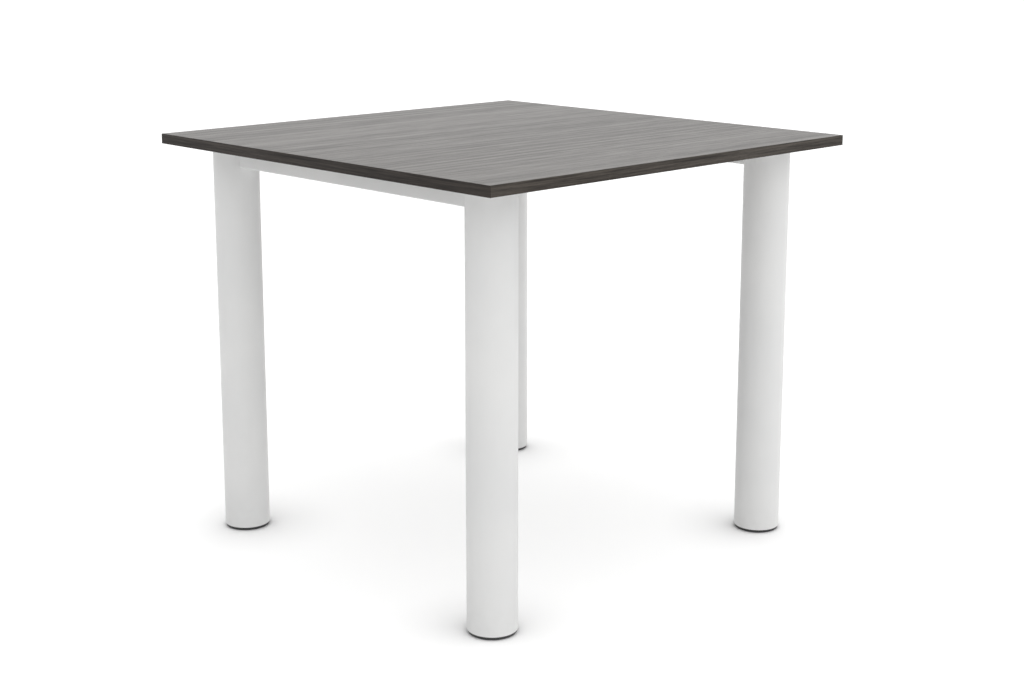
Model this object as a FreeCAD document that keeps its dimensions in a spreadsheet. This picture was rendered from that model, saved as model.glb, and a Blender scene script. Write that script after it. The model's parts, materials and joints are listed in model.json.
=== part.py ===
import FreeCAD, Part
import Sketcher
import os

# A square counter height table: a laminated board on four round steel legs, an end rail between the
# front and rear leg of each end, two channels under the board and a levelling foot in each leg.
# Millimetres, +Z up, origin on the floor under the middle of the board.
# X runs along the wood grain, and the front is the side at -Y.

SIZES = {
    # Board
    "top_length": 1200,
    "top_depth": 1200,
    "top_thickness": 25,
    "table_height": 1022,
    "laminate_thickness": 0.8,
    "edge_band_thickness": 2,
    "edge_band_round": 1,
    # Legs, and the flange plate on top of each
    "leg_diameter": 114,
    "leg_wall": 2,
    "leg_inset_x": 129,
    "leg_inset_y": 134,
    "flange_margin": 18,
    "flange_thickness": 3,
    "flange_corner_radius": 12,
    "flange_ledge": 13,
    "flange_screw_edge": 17,
    # End rails, square tube
    "rail_side": 50,
    "rail_wall": 2,
    "rail_inner_radius": 2,
    # Clamp joint between a rail and a leg
    "rail_block_length": 28,
    "saddle_width": 40,
    "saddle_height": 44,
    "saddle_depth": 7,
    "rail_bolt_diameter": 8,
    "rail_bolt_length": 35,
    "rail_bolt_spacing": 24,
    "rail_bolt_head_diameter": 13,
    "rail_bolt_head_height": 8,
    "rail_bolt_socket": 6,
    # Channel stretchers and the plates that bolt them to the rails
    "stretcher_spacing": 400,
    "stretcher_width": 60,
    "stretcher_height": 35,
    "stretcher_wall": 2,
    "stretcher_inner_radius": 1,
    "stretcher_screw_pitch": 300,
    "end_plate_thickness": 4,
    "end_plate_ear": 30,
    "end_plate_drop": 11,
    "end_plate_corner_radius": 6,
    "plate_bolt_diameter": 8,
    "plate_bolt_length": 16,
    "plate_bolt_head_diameter": 14,
    "plate_bolt_head_height": 5,
    "plate_bolt_socket": 5,
    "weld_nut_across_flats": 13,
    "weld_nut_height": 6.5,
    # Screws and threaded inserts that hold the board
    "board_screw_diameter": 6,
    "board_screw_length": 16,
    "board_screw_head_diameter": 12,
    "board_screw_head_height": 4,
    "board_screw_socket": 4,
    "insert_diameter": 10,
    "insert_length": 13,
    "socket_depth": 2.5,
    "screw_tip_chamfer": 0.8,
    # Plug and nut in the lower end of each leg, heights measured from the floor
    "foot_height": 8,
    "plug_lip_thickness": 2,
    "plug_lip_recess": 1,
    "plug_height": 30,
    "plug_wall": 3,
    "plug_rib_count": 8,
    "plug_rib_height": 18,
    "foot_nut_flange_diameter": 30,
    "foot_nut_flange_thickness": 2,
    "foot_nut_barrel_diameter": 16,
    "foot_nut_barrel_length": 20,
    # Levelling foot
    "stud_diameter": 10,
    "stud_length": 40,
    "stud_head_across_flats": 17,
    "stud_head_height": 5,
    "hub_diameter": 40,
    "hub_rise": 6,
    "hub_side_room": 3,
    "hub_top_room": 2,
    "base_recess": 2.5,
    "base_edge_chamfer": 0.6,
    "flute_count": 24,
    "flute_radius": 2.5,
    "flute_depth": 0.7,
    "sole_inset": 5,
    "sole_thickness": 2.5,
    "sole_drop": 1,
    "sole_edge_chamfer": 0.5,
    "sole_groove_pitch": 12,
    "sole_groove_width": 2,
    "sole_groove_depth": 0.8,
    "spigot_diameter": 24,
    "spigot_height": 1.8,
    # Clearances
    "fit_clearance": 0.1,
    "bolt_clearance": 0.4,
    "running_clearance": 0.06,
    "moving_gap": 0.3,
}

# Places and sizes that follow from the driving ones, as expressions on the sheet
UNDERSIDE = "(Sizes.table_height - Sizes.top_thickness)"
CORE_LENGTH = "(Sizes.top_length - 2 * Sizes.edge_band_thickness)"
CORE_DEPTH = "(Sizes.top_depth - 2 * Sizes.edge_band_thickness)"
CORE_THICKNESS = "(Sizes.top_thickness - 2 * Sizes.laminate_thickness)"
BAND_ROUND = "min(Sizes.edge_band_round; Sizes.edge_band_thickness * 3 / 4)"
LEG_X = "(Sizes.top_length / 2 - Sizes.leg_inset_x)"
LEG_Y = "(Sizes.top_depth / 2 - Sizes.leg_inset_y)"
LEG_RADIUS = "(Sizes.leg_diameter / 2)"
LEG_BORE = "(Sizes.leg_diameter / 2 - Sizes.leg_wall)"
LEG_TOP = f"({UNDERSIDE} - Sizes.flange_thickness)"
FLANGE_SIDE = "(Sizes.leg_diameter + 2 * Sizes.flange_margin)"
FLANGE_ACCESS = f"({LEG_BORE} - Sizes.flange_ledge)"
FLANGE_SCREW_OFFSET = f"({FLANGE_SIDE} / 2 - Sizes.flange_screw_edge)"
RAIL_MIDDLE = f"({LEG_TOP} - Sizes.rail_side / 2)"
RAIL_BORE = "(Sizes.rail_side - 2 * Sizes.rail_wall)"
RAIL_INNER_FACE = f"({LEG_X} - Sizes.rail_side / 2)"
SADDLE_FACE = f"({LEG_BORE} - Sizes.saddle_depth)"
PLATE_BOLT_OFFSET = "(Sizes.stretcher_width / 2 + Sizes.end_plate_ear / 2)"
INSERT_HOLE_RADIUS = "(Sizes.insert_diameter / 2 + Sizes.fit_clearance)"
INSERT_HOLE_DEPTH = "(max(Sizes.insert_length; Sizes.board_screw_length) + Sizes.moving_gap)"
RAIL_BOLT_HOLE = "(Sizes.rail_bolt_diameter / 2 + Sizes.bolt_clearance)"
PLATE_BOLT_HOLE = "(Sizes.plate_bolt_diameter / 2 + Sizes.bolt_clearance)"
BOARD_SCREW_HOLE = "(Sizes.board_screw_diameter / 2 + Sizes.bolt_clearance)"
PLUG_BOTTOM = "(Sizes.foot_height - Sizes.plug_lip_thickness)"
PLUG_TOP = "(Sizes.foot_height + Sizes.plug_height)"
PLUG_RADIUS = f"({LEG_BORE} - Sizes.fit_clearance)"
BASE_TOP = f"({PLUG_BOTTOM} - Sizes.moving_gap)"
BASE_RADIUS = f"({LEG_RADIUS} - Sizes.base_recess)"
HUB_TOP = f"({BASE_TOP} + Sizes.hub_rise)"
CUP_RADIUS = "(Sizes.hub_diameter / 2 + Sizes.hub_side_room)"
CUP_TOP = f"({HUB_TOP} + Sizes.hub_top_room)"
NUT_SEAT = f"({CUP_TOP} + Sizes.foot_nut_flange_thickness)"
BOSS_RADIUS = "(Sizes.foot_nut_barrel_diameter / 2 + Sizes.fit_clearance + Sizes.plug_wall)"
SOLE_RADIUS = f"({BASE_RADIUS} - Sizes.sole_inset)"
SPIGOT_TOP = "(Sizes.sole_thickness + Sizes.spigot_height)"

# Each corner's side of the table along X and along Y
CORNERS = {
    "front_left": (-1, -1),
    "front_right": (1, -1),
    "rear_left": (-1, 1),
    "rear_right": (1, 1),
}
SIDES = (-1, 1)
STRETCHER_SCREW_STEPS = (-1, 0, 1)
SOLE_GROOVES = 3
X_AXIS = FreeCAD.Vector(1, 0, 0)
Y_AXIS = FreeCAD.Vector(0, 1, 0)
Z_AXIS = FreeCAD.Vector(0, 0, 1)
TOUCH = 0.001

doc = FreeCAD.newDocument("CounterHeightTable")
nodes = []


def fill_sheet():
    """Puts every driving dimension in the sheet under its own name."""
    made = doc.addObject("Spreadsheet::Sheet", "Sizes")
    for row, (alias, number) in enumerate(SIZES.items(), start=1):
        made.set(f"A{row}", alias)
        made.set(f"B{row}", str(number))
        made.setAlias(f"B{row}", alias)
    doc.recompute()
    return made


sheet = fill_sheet()


def value(expression):
    """The present number that an expression on the sheet gives."""
    return float(sheet.evalExpression(str(expression)))


def leg_place(corner):
    """The expressions for a leg's axis, and the turn that points its +Y at the middle of the rail."""
    side_x, side_y = CORNERS[corner]
    turn = 0 if side_y < 0 else 180
    return f"{side_x} * {LEG_X}", f"{side_y} * {LEG_Y}", turn


def place(item, x="0", y="0", z="0", turn=0, axis=Z_AXIS):
    """Turns an object about its own origin and binds its position to the sheet."""
    item.Placement = FreeCAD.Placement(FreeCAD.Vector(), FreeCAD.Rotation(axis, turn))
    for name, expression in zip("xyz", (x, y, z)):
        item.setExpression(f"Placement.Base.{name}", expression)


def make_body(label, is_node=True):
    """A new body: one node of the table, or a pattern that a group of nodes copies."""
    body = doc.addObject("PartDesign::Body", label)
    body.Label = label
    if is_node:
        nodes.append(body)
    return body


def make_sketch(body, role, lift="0"):
    """An empty sketch on one of the body's origin planes, lifted along the plane's normal."""
    origin = {feature.Role: feature for feature in body.Origin.OriginFeatures}
    sketch = body.newObject("Sketcher::SketchObject", f"{body.Name}_sketch")
    sketch.AttachmentSupport = [(origin[role], "")]
    sketch.MapMode = "FlatFace"
    sketch.setExpression("AttachmentOffset.Base.z", lift)
    return sketch


def hold_point(sketch, geometry, point, x, y):
    """Binds a point of the sketch to its distances from the sketch's origin."""
    for kind, expression in (("DistanceX", x), ("DistanceY", y)):
        rule = Sketcher.Constraint(kind, -1, 1, geometry, point, value(expression))
        index = sketch.addConstraint(rule)
        sketch.setExpression(f"Constraints[{index}]", expression)


def add_outline(sketch, corners):
    """A closed outline of straight lines through the given corners."""
    points = [FreeCAD.Vector(value(x), value(y), 0) for x, y in corners]
    ends = points[1:] + points[:1]
    lines = [sketch.addGeometry(Part.LineSegment(a, b)) for a, b in zip(points, ends)]
    for index, (x, y) in enumerate(corners):
        sketch.addConstraint(Sketcher.Constraint("Coincident", lines[index - 1], 2, lines[index], 1))
        hold_point(sketch, lines[index], 1, x, y)


def add_rectangle(sketch, width, height, x="0", y="0"):
    """A rectangle about the point x, y."""
    left, right = f"{x} - {width} / 2", f"{x} + {width} / 2"
    low, high = f"{y} - {height} / 2", f"{y} + {height} / 2"
    add_outline(sketch, [(left, low), (right, low), (right, high), (left, high)])


def add_hexagon(sketch, across_flats):
    """A hexagon about the sketch's origin."""
    reach = f"{across_flats} / sqrt(3)"
    angles = range(0, 360, 60)
    add_outline(sketch, [(f"{reach} * cos({a} deg)", f"{reach} * sin({a} deg)") for a in angles])


def add_circle(sketch, radius, x="0", y="0"):
    """A circle about the point x, y."""
    centre = FreeCAD.Vector(value(x), value(y), 0)
    circle = sketch.addGeometry(Part.Circle(centre, Z_AXIS, value(radius)))
    index = sketch.addConstraint(Sketcher.Constraint("Radius", circle, value(radius)))
    sketch.setExpression(f"Constraints[{index}]", radius)
    hold_point(sketch, circle, 3, x, y)


def extrude(body, kind, sketch, length, symmetric=False, reverse=False):
    """A Pad or a Pocket of the sketch."""
    feature = body.newObject(f"PartDesign::{kind}", f"{body.Name}_{kind.lower()}")
    feature.Profile = sketch
    feature.SideType = "Symmetric" if symmetric else "One side"
    feature.Reversed = reverse
    feature.setExpression("Length", length)
    return feature


def revolve(body, corners):
    """A solid turned about the body's Z axis from an outline of (radius, height) corners."""
    sketch = make_sketch(body, "XZ_Plane")
    add_outline(sketch, corners)
    feature = body.newObject("PartDesign::Revolution", f"{body.Name}_turned")
    feature.Profile = sketch
    feature.ReferenceAxis = (sketch, ["V_Axis"])
    feature.Angle = 360
    return feature


def repeat_around(body, feature, count):
    """Repeats a feature evenly about the body's Z axis."""
    origin = {part.Role: part for part in body.Origin.OriginFeatures}
    pattern = body.newObject("PartDesign::PolarPattern", f"{body.Name}_pattern")
    pattern.Originals = [feature]
    pattern.Axis = (origin["Z_Axis"], [""])
    pattern.Angle = 360
    pattern.setExpression("Occurrences", count)
    body.Tip = pattern
    return pattern


def round_edges(body, feature, chosen, radius):
    """Rounds those edges of the feature that the test picks."""
    doc.recompute()
    edges = enumerate(feature.Shape.Edges, start=1)
    names = [f"Edge{number}" for number, edge in edges if chosen(edge)]
    fillet = body.newObject("PartDesign::Fillet", f"{body.Name}_rounding")
    fillet.Base = (feature, names)
    fillet.setExpression("Radius", radius)
    return fillet


def runs_along(edge, axis):
    """True for a straight edge that is parallel to the axis."""
    span = edge.Vertexes[-1].Point - edge.Vertexes[0].Point
    return abs(abs(span.dot(axis)) - edge.Length) < TOUCH and edge.Length > TOUCH


def reach(edge, axis):
    """How far an edge's middle lies from the origin along the axis."""
    return abs(edge.CenterOfMass.dot(axis))


def flange_screw_points():
    """The sixteen screw places of the four flange plates."""
    points = []
    for corner in CORNERS:
        x, y, _ = leg_place(corner)
        for step_x in SIDES:
            for step_y in SIDES:
                across = f"{x} + {step_x} * {FLANGE_SCREW_OFFSET}"
                along = f"{y} + {step_y} * {FLANGE_SCREW_OFFSET}"
                points.append((across, along))
    return points


def stretcher_screw_points():
    """The three screw places of each of the two stretchers."""
    points = []
    for side in SIDES:
        for step in STRETCHER_SCREW_STEPS:
            across = f"{step} * Sizes.stretcher_screw_pitch"
            along = f"{side} * Sizes.stretcher_spacing / 2"
            points.append((across, along))
    return points


def make_board():
    """Core, woodgrain laminate on top and backing sheet below, drilled for the threaded inserts."""
    fixings = flange_screw_points() + stretcher_screw_points()

    core = make_body("top_core")
    sketch = make_sketch(core, "XY_Plane")
    add_rectangle(sketch, CORE_LENGTH, CORE_DEPTH)
    extrude(core, "Pad", sketch, CORE_THICKNESS)
    holes = make_sketch(core, "XY_Plane")
    for x, y in fixings:
        add_circle(holes, INSERT_HOLE_RADIUS, x, y)
    depth = f"{INSERT_HOLE_DEPTH} - Sizes.laminate_thickness"
    extrude(core, "Pocket", holes, depth, reverse=True)
    place(core, z=f"{UNDERSIDE} + Sizes.laminate_thickness")

    backing = make_body("backing_sheet")
    sketch = make_sketch(backing, "XY_Plane")
    add_rectangle(sketch, CORE_LENGTH, CORE_DEPTH)
    for x, y in fixings:
        add_circle(sketch, INSERT_HOLE_RADIUS, x, y)
    extrude(backing, "Pad", sketch, "Sizes.laminate_thickness")
    place(backing, z=UNDERSIDE)

    laminate = make_body("top_laminate")
    sketch = make_sketch(laminate, "XY_Plane")
    add_rectangle(sketch, CORE_LENGTH, CORE_DEPTH)
    extrude(laminate, "Pad", sketch, "Sizes.laminate_thickness")
    place(laminate, z="Sizes.table_height - Sizes.laminate_thickness")


def make_edge_band(label, length, round_ends, turn, x="0", y="0"):
    """A band along one side of the board, its outer face at its own x = 0, with rounded outer edges."""
    band = make_body(label)
    sketch = make_sketch(band, "XY_Plane")
    add_rectangle(sketch, "Sizes.edge_band_thickness", length, x="Sizes.edge_band_thickness / 2")
    pad = extrude(band, "Pad", sketch, "Sizes.top_thickness")

    def outer(edge):
        return reach(edge, X_AXIS) < TOUCH and (round_ends or runs_along(edge, Y_AXIS))

    round_edges(band, pad, outer, BAND_ROUND)
    place(band, x, y, UNDERSIDE, turn)


def make_edge_bands():
    """The side bands cover the ends of the front and rear bands."""
    half_length, half_depth = "Sizes.top_length / 2", "Sizes.top_depth / 2"
    make_edge_band("edge_band_left", "Sizes.top_depth", True, 0, x=f"-{half_length}")
    make_edge_band("edge_band_right", "Sizes.top_depth", True, 180, x=half_length)
    make_edge_band("edge_band_front", CORE_LENGTH, False, 90, y=f"-{half_depth}")
    make_edge_band("edge_band_rear", CORE_LENGTH, False, 270, y=half_depth)


def make_leg(corner):
    """The round tube, drilled for the rail bolts on the side that faces its rail."""
    x, y, turn = leg_place(corner)
    tube = make_body(f"leg_tube_{corner}")
    sketch = make_sketch(tube, "XY_Plane")
    add_circle(sketch, LEG_RADIUS)
    add_circle(sketch, LEG_BORE)
    extrude(tube, "Pad", sketch, f"{LEG_TOP} - Sizes.foot_height")
    holes = make_sketch(tube, "XZ_Plane")
    for side in SIDES:
        height = f"{RAIL_MIDDLE} - Sizes.foot_height + {side} * Sizes.rail_bolt_spacing / 2"
        add_circle(holes, RAIL_BOLT_HOLE, y=height)
    extrude(tube, "Pocket", holes, "Sizes.leg_diameter")
    place(tube, x, y, "Sizes.foot_height", turn)

    flange = make_body(f"leg_flange_{corner}")
    sketch = make_sketch(flange, "XY_Plane")
    add_rectangle(sketch, FLANGE_SIDE, FLANGE_SIDE)
    add_circle(sketch, FLANGE_ACCESS)
    for side_x in SIDES:
        for side_y in SIDES:
            across = f"{side_x} * {FLANGE_SCREW_OFFSET}"
            along = f"{side_y} * {FLANGE_SCREW_OFFSET}"
            add_circle(sketch, BOARD_SCREW_HOLE, across, along)
    pad = extrude(flange, "Pad", sketch, "Sizes.flange_thickness")
    half_side = value(f"{FLANGE_SIDE} / 2")

    def corner_edge(edge):
        return runs_along(edge, Z_AXIS) and abs(reach(edge, X_AXIS) - half_side) < TOUCH

    round_edges(flange, pad, corner_edge, "Sizes.flange_corner_radius")
    place(flange, x, y, LEG_TOP)


def make_rail(label, side):
    """A square tube whose ends are hollowed to the legs, drilled on its inner face for the stretchers."""
    rail = make_body(label)
    sketch = make_sketch(rail, "XZ_Plane")
    add_rectangle(sketch, "Sizes.rail_side", "Sizes.rail_side")
    add_rectangle(sketch, RAIL_BORE, RAIL_BORE)
    pad = extrude(rail, "Pad", sketch, f"2 * {LEG_Y}", symmetric=True)
    half_side = value("Sizes.rail_side / 2")

    def outer(edge):
        return runs_along(edge, Y_AXIS) and abs(reach(edge, X_AXIS) - half_side) < TOUCH

    def inner(edge):
        half_bore = value(f"{RAIL_BORE} / 2")
        at_bore = [abs(reach(edge, axis) - half_bore) < TOUCH for axis in (X_AXIS, Z_AXIS)]
        return runs_along(edge, Y_AXIS) and all(at_bore)

    rounded = round_edges(rail, pad, outer, "Sizes.rail_inner_radius + Sizes.rail_wall")
    round_edges(rail, rounded, inner, "Sizes.rail_inner_radius")
    ends = make_sketch(rail, "XY_Plane")
    for end in SIDES:
        add_circle(ends, f"{LEG_RADIUS} + Sizes.fit_clearance", y=f"{end} * {LEG_Y}")
    extrude(rail, "Pocket", ends, "2 * Sizes.rail_side", symmetric=True)
    holes = make_sketch(rail, "YZ_Plane")
    for end in SIDES:
        for step in SIDES:
            along = f"{end} * Sizes.stretcher_spacing / 2 + {step} * {PLATE_BOLT_OFFSET}"
            add_circle(holes, PLATE_BOLT_HOLE, x=along)
    extrude(rail, "Pocket", holes, "Sizes.rail_side", reverse=True)
    place(rail, f"{side} * {LEG_X}", z=RAIL_MIDDLE, turn=0 if side < 0 else 180)


def make_rail_block(corner):
    """The threaded block in a rail's end, hollowed to the leg that it is pulled against."""
    x, y, turn = leg_place(corner)
    side = f"({RAIL_BORE} - 2 * Sizes.fit_clearance)"
    block = make_body(f"rail_block_{corner}")
    sketch = make_sketch(block, "XZ_Plane")
    add_rectangle(sketch, side, side)
    for step in SIDES:
        bore = "Sizes.rail_bolt_diameter / 2 + Sizes.fit_clearance"
        add_circle(sketch, bore, y=f"{step} * Sizes.rail_bolt_spacing / 2")
    length = f"{LEG_RADIUS} + Sizes.rail_block_length"
    pad = extrude(block, "Pad", sketch, length, reverse=True)
    half_side = value(f"{side} / 2")

    def corner_edge(edge):
        return runs_along(edge, Y_AXIS) and abs(reach(edge, X_AXIS) - half_side) < TOUCH

    round_edges(block, pad, corner_edge, "Sizes.rail_inner_radius")
    leg = make_sketch(block, "XY_Plane")
    add_circle(leg, f"{LEG_RADIUS} + Sizes.fit_clearance")
    extrude(block, "Pocket", leg, "2 * Sizes.rail_side", symmetric=True)
    place(block, x, y, RAIL_MIDDLE, turn)


def make_cylinder(name, radius, height, x="0", y="0", z="0", turn=0, axis=X_AXIS):
    """A plain cylinder for the boolean features."""
    cylinder = doc.addObject("Part::Cylinder", name)
    cylinder.setExpression("Radius", radius)
    cylinder.setExpression("Height", height)
    place(cylinder, x, y, z, turn, axis)
    return cylinder


def make_saddle(corner):
    """The clamp plate inside a leg: one face curved to the tube, the other flat for the bolt heads."""
    x, y, turn = leg_place(corner)
    label = f"clamp_saddle_{corner}"
    blank = doc.addObject("Part::Box", f"{label}_blank")
    blank.setExpression("Length", "Sizes.saddle_width")
    blank.setExpression("Width", "Sizes.saddle_depth")
    blank.setExpression("Height", "Sizes.saddle_height")
    place(blank, "-Sizes.saddle_width / 2", SADDLE_FACE, "-Sizes.saddle_height / 2")
    bore_radius = f"{LEG_BORE} - Sizes.fit_clearance"
    low = "-Sizes.saddle_height / 2"
    bore = make_cylinder(f"{label}_bore", bore_radius, "Sizes.saddle_height", z=low)
    curved = doc.addObject("Part::Common", f"{label}_curved")
    curved.Base = blank
    curved.Tool = bore
    saddle = curved
    for step in SIDES:
        height = f"{step} * Sizes.rail_bolt_spacing / 2"
        drill = make_cylinder(f"{label}_drill", RAIL_BOLT_HOLE, "Sizes.leg_diameter", z=height, turn=-90)
        drilled = doc.addObject("Part::Cut", f"{label}_drilled")
        drilled.Base = saddle
        drilled.Tool = drill
        saddle = drilled
    saddle.Label = label
    place(saddle, x, y, RAIL_MIDDLE, turn)
    nodes.append(saddle)


def make_stretcher(label, side):
    """A folded channel, open below, with its web against the board and a hole for each board screw."""
    channel = make_body(label)
    half_width = "Sizes.stretcher_width / 2"
    half_bore = "(Sizes.stretcher_width / 2 - Sizes.stretcher_wall)"
    foot, web = "-Sizes.stretcher_height", "-Sizes.stretcher_wall"
    sketch = make_sketch(channel, "YZ_Plane")
    section = [(f"-{half_width}", "0"), (f"-{half_width}", foot), (f"-{half_bore}", foot)]
    section += [(f"-{half_bore}", web), (half_bore, web)]
    section += [(half_bore, foot), (half_width, foot), (half_width, "0")]
    add_outline(sketch, section)
    length = f"2 * ({RAIL_INNER_FACE} - Sizes.end_plate_thickness)"
    pad = extrude(channel, "Pad", sketch, length, symmetric=True)

    def outer(edge):
        return runs_along(edge, X_AXIS) and reach(edge, Z_AXIS) < TOUCH

    def inner(edge):
        at_web = abs(reach(edge, Z_AXIS) - value("Sizes.stretcher_wall")) < TOUCH
        at_side = abs(reach(edge, Y_AXIS) - value(half_bore)) < TOUCH
        return runs_along(edge, X_AXIS) and at_web and at_side

    rounded = round_edges(channel, pad, outer, "Sizes.stretcher_inner_radius + Sizes.stretcher_wall")
    round_edges(channel, rounded, inner, "Sizes.stretcher_inner_radius")
    holes = make_sketch(channel, "XY_Plane")
    for step in STRETCHER_SCREW_STEPS:
        add_circle(holes, BOARD_SCREW_HOLE, x=f"{step} * Sizes.stretcher_screw_pitch")
    extrude(channel, "Pocket", holes, "Sizes.stretcher_height")
    place(channel, y=f"{side} * Sizes.stretcher_spacing / 2", z=UNDERSIDE)


def make_end_plate(corner):
    """The plate on a stretcher's end, bolted through its ears to the end rail."""
    side_x, side_y = CORNERS[corner]
    plate = make_body(f"end_plate_{corner}")
    height = "(Sizes.stretcher_height + Sizes.end_plate_drop)"
    width = "(Sizes.stretcher_width + 2 * Sizes.end_plate_ear)"
    sketch = make_sketch(plate, "YZ_Plane")
    add_rectangle(sketch, width, height, y=f"-{height} / 2")
    for step in SIDES:
        bolt_height = "-Sizes.flange_thickness - Sizes.rail_side / 2"
        add_circle(sketch, PLATE_BOLT_HOLE, f"{step} * {PLATE_BOLT_OFFSET}", bolt_height)
    pad = extrude(plate, "Pad", sketch, "Sizes.end_plate_thickness", reverse=side_x > 0)
    half_width = value(f"{width} / 2")

    def corner_edge(edge):
        return runs_along(edge, X_AXIS) and abs(reach(edge, Y_AXIS) - half_width) < TOUCH

    round_edges(plate, pad, corner_edge, "Sizes.end_plate_corner_radius")
    y = f"{side_y} * Sizes.stretcher_spacing / 2"
    place(plate, f"{side_x} * {RAIL_INNER_FACE}", y, UNDERSIDE)


def make_socket_screw(name, prefix):
    """A socket head screw along +Z whose head bears at z = 0, with its sizes named by the prefix."""
    screw = make_body(name, is_node=False)
    head = f"-Sizes.{prefix}_head_height"
    head_radius = f"Sizes.{prefix}_head_diameter / 2"
    radius = f"Sizes.{prefix}_diameter / 2"
    tip = f"Sizes.{prefix}_length"
    neck = f"{tip} - Sizes.screw_tip_chamfer"
    corners = [("0", head), (head_radius, head), (head_radius, "0"), (radius, "0")]
    corners += [(radius, neck), (f"{radius} - Sizes.screw_tip_chamfer", tip), ("0", tip)]
    revolve(screw, corners)
    socket = make_sketch(screw, "XY_Plane", lift=head)
    add_hexagon(socket, f"Sizes.{prefix}_socket")
    extrude(screw, "Pocket", socket, "Sizes.socket_depth", reverse=True)
    return screw


def make_insert():
    """A threaded insert that stands in the board from z = 0 up."""
    insert = make_body("board_insert", is_node=False)
    sketch = make_sketch(insert, "XY_Plane")
    add_circle(sketch, "Sizes.insert_diameter / 2")
    add_circle(sketch, "Sizes.board_screw_diameter / 2 + Sizes.fit_clearance")
    extrude(insert, "Pad", sketch, "Sizes.insert_length")
    return insert


def make_weld_nut():
    """A hexagon nut that stands on z = 0."""
    nut = make_body("weld_nut", is_node=False)
    sketch = make_sketch(nut, "XY_Plane")
    add_hexagon(sketch, "Sizes.weld_nut_across_flats")
    add_circle(sketch, "Sizes.plate_bolt_diameter / 2 + Sizes.fit_clearance")
    extrude(nut, "Pad", sketch, "Sizes.weld_nut_height")
    return nut


def make_group(label, pattern, places):
    """One node that holds a copy of the pattern at each place, given as place() takes it."""
    copies = []
    for spot in places:
        copy = doc.addObject("App::Link", f"{label}_copy")
        copy.LinkedObject = pattern
        place(copy, **spot)
        copies.append(copy)
    group = doc.addObject("Part::Compound", label)
    group.Label = label
    group.Links = copies
    nodes.append(group)


def make_fasteners():
    """Bolts, nuts, screws and inserts, each kind as one group of separate solids."""
    rail_bolt_places = []
    for side_x, side_y in CORNERS.values():
        for step in SIDES:
            spot = {"x": f"{side_x} * {LEG_X}", "y": f"{side_y} * ({LEG_Y} - {SADDLE_FACE})"}
            spot["z"] = f"{RAIL_MIDDLE} + {step} * Sizes.rail_bolt_spacing / 2"
            rail_bolt_places.append({**spot, "turn": 90 * side_y, "axis": X_AXIS})
    make_group("rail_bolts", make_socket_screw("rail_bolt", "rail_bolt"), rail_bolt_places)

    plate_bolt_places = []
    weld_nut_places = []
    for side_x, side_y in CORNERS.values():
        for step in SIDES:
            y = f"{side_y} * Sizes.stretcher_spacing / 2 + {step} * {PLATE_BOLT_OFFSET}"
            spot = {"y": y, "z": RAIL_MIDDLE, "turn": 90 * side_x, "axis": Y_AXIS}
            seat = f"{side_x} * ({RAIL_INNER_FACE} - Sizes.end_plate_thickness)"
            plate_bolt_places.append({**spot, "x": seat})
            weld_nut_places.append({**spot, "x": f"{side_x} * ({RAIL_INNER_FACE} + Sizes.rail_wall)"})
    make_group("plate_bolts", make_socket_screw("plate_bolt", "plate_bolt"), plate_bolt_places)
    make_group("weld_nuts", make_weld_nut(), weld_nut_places)

    screw = make_socket_screw("board_screw", "board_screw")
    flange_points, channel_points = flange_screw_points(), stretcher_screw_points()
    channel_seat = f"{UNDERSIDE} - Sizes.stretcher_wall"
    make_group("flange_screws", screw, [{"x": x, "y": y, "z": LEG_TOP} for x, y in flange_points])
    make_group("stretcher_screws", screw, [{"x": x, "y": y, "z": channel_seat} for x, y in channel_points])
    insert_places = [{"x": x, "y": y, "z": UNDERSIDE} for x, y in flange_points + channel_points]
    make_group("board_inserts", make_insert(), insert_places)


def make_plug(corner):
    """The ribbed plug in a leg's end: its lip carries the tube, its cup takes the hub of the foot."""
    x, y, turn = leg_place(corner)
    lip = f"{LEG_RADIUS} - Sizes.plug_lip_recess"
    inside = f"{PLUG_RADIUS} - Sizes.plug_wall"
    floor_top = f"{PLUG_BOTTOM} + Sizes.plug_wall"
    cup_outside = f"{CUP_RADIUS} + Sizes.plug_wall"
    roof = f"{NUT_SEAT} + Sizes.plug_wall"
    bore = "Sizes.foot_nut_barrel_diameter / 2 + Sizes.fit_clearance"
    pocket = "Sizes.foot_nut_flange_diameter / 2 + Sizes.fit_clearance"
    plug = make_body(f"leg_plug_{corner}")
    outline = [(CUP_RADIUS, PLUG_BOTTOM), (lip, PLUG_BOTTOM), (lip, "Sizes.foot_height")]
    outline += [(PLUG_RADIUS, "Sizes.foot_height"), (PLUG_RADIUS, PLUG_TOP), (inside, PLUG_TOP)]
    outline += [(inside, floor_top), (cup_outside, floor_top), (cup_outside, roof)]
    outline += [(BOSS_RADIUS, roof), (BOSS_RADIUS, PLUG_TOP), (bore, PLUG_TOP), (bore, NUT_SEAT)]
    outline += [(pocket, NUT_SEAT), (pocket, CUP_TOP), (CUP_RADIUS, CUP_TOP)]
    revolve(plug, outline)
    rib = make_sketch(plug, "XY_Plane", lift=floor_top)
    middle = f"({PLUG_RADIUS} - Sizes.plug_wall / 2 + {CUP_RADIUS} + Sizes.plug_wall / 2) / 2"
    span = f"({PLUG_RADIUS} - {CUP_RADIUS} - Sizes.plug_wall)"
    add_rectangle(rib, span, "Sizes.plug_wall", x=middle)
    pad = extrude(plug, "Pad", rib, "Sizes.plug_rib_height")
    repeat_around(plug, pad, "Sizes.plug_rib_count")
    place(plug, x, y, turn=turn)


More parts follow.
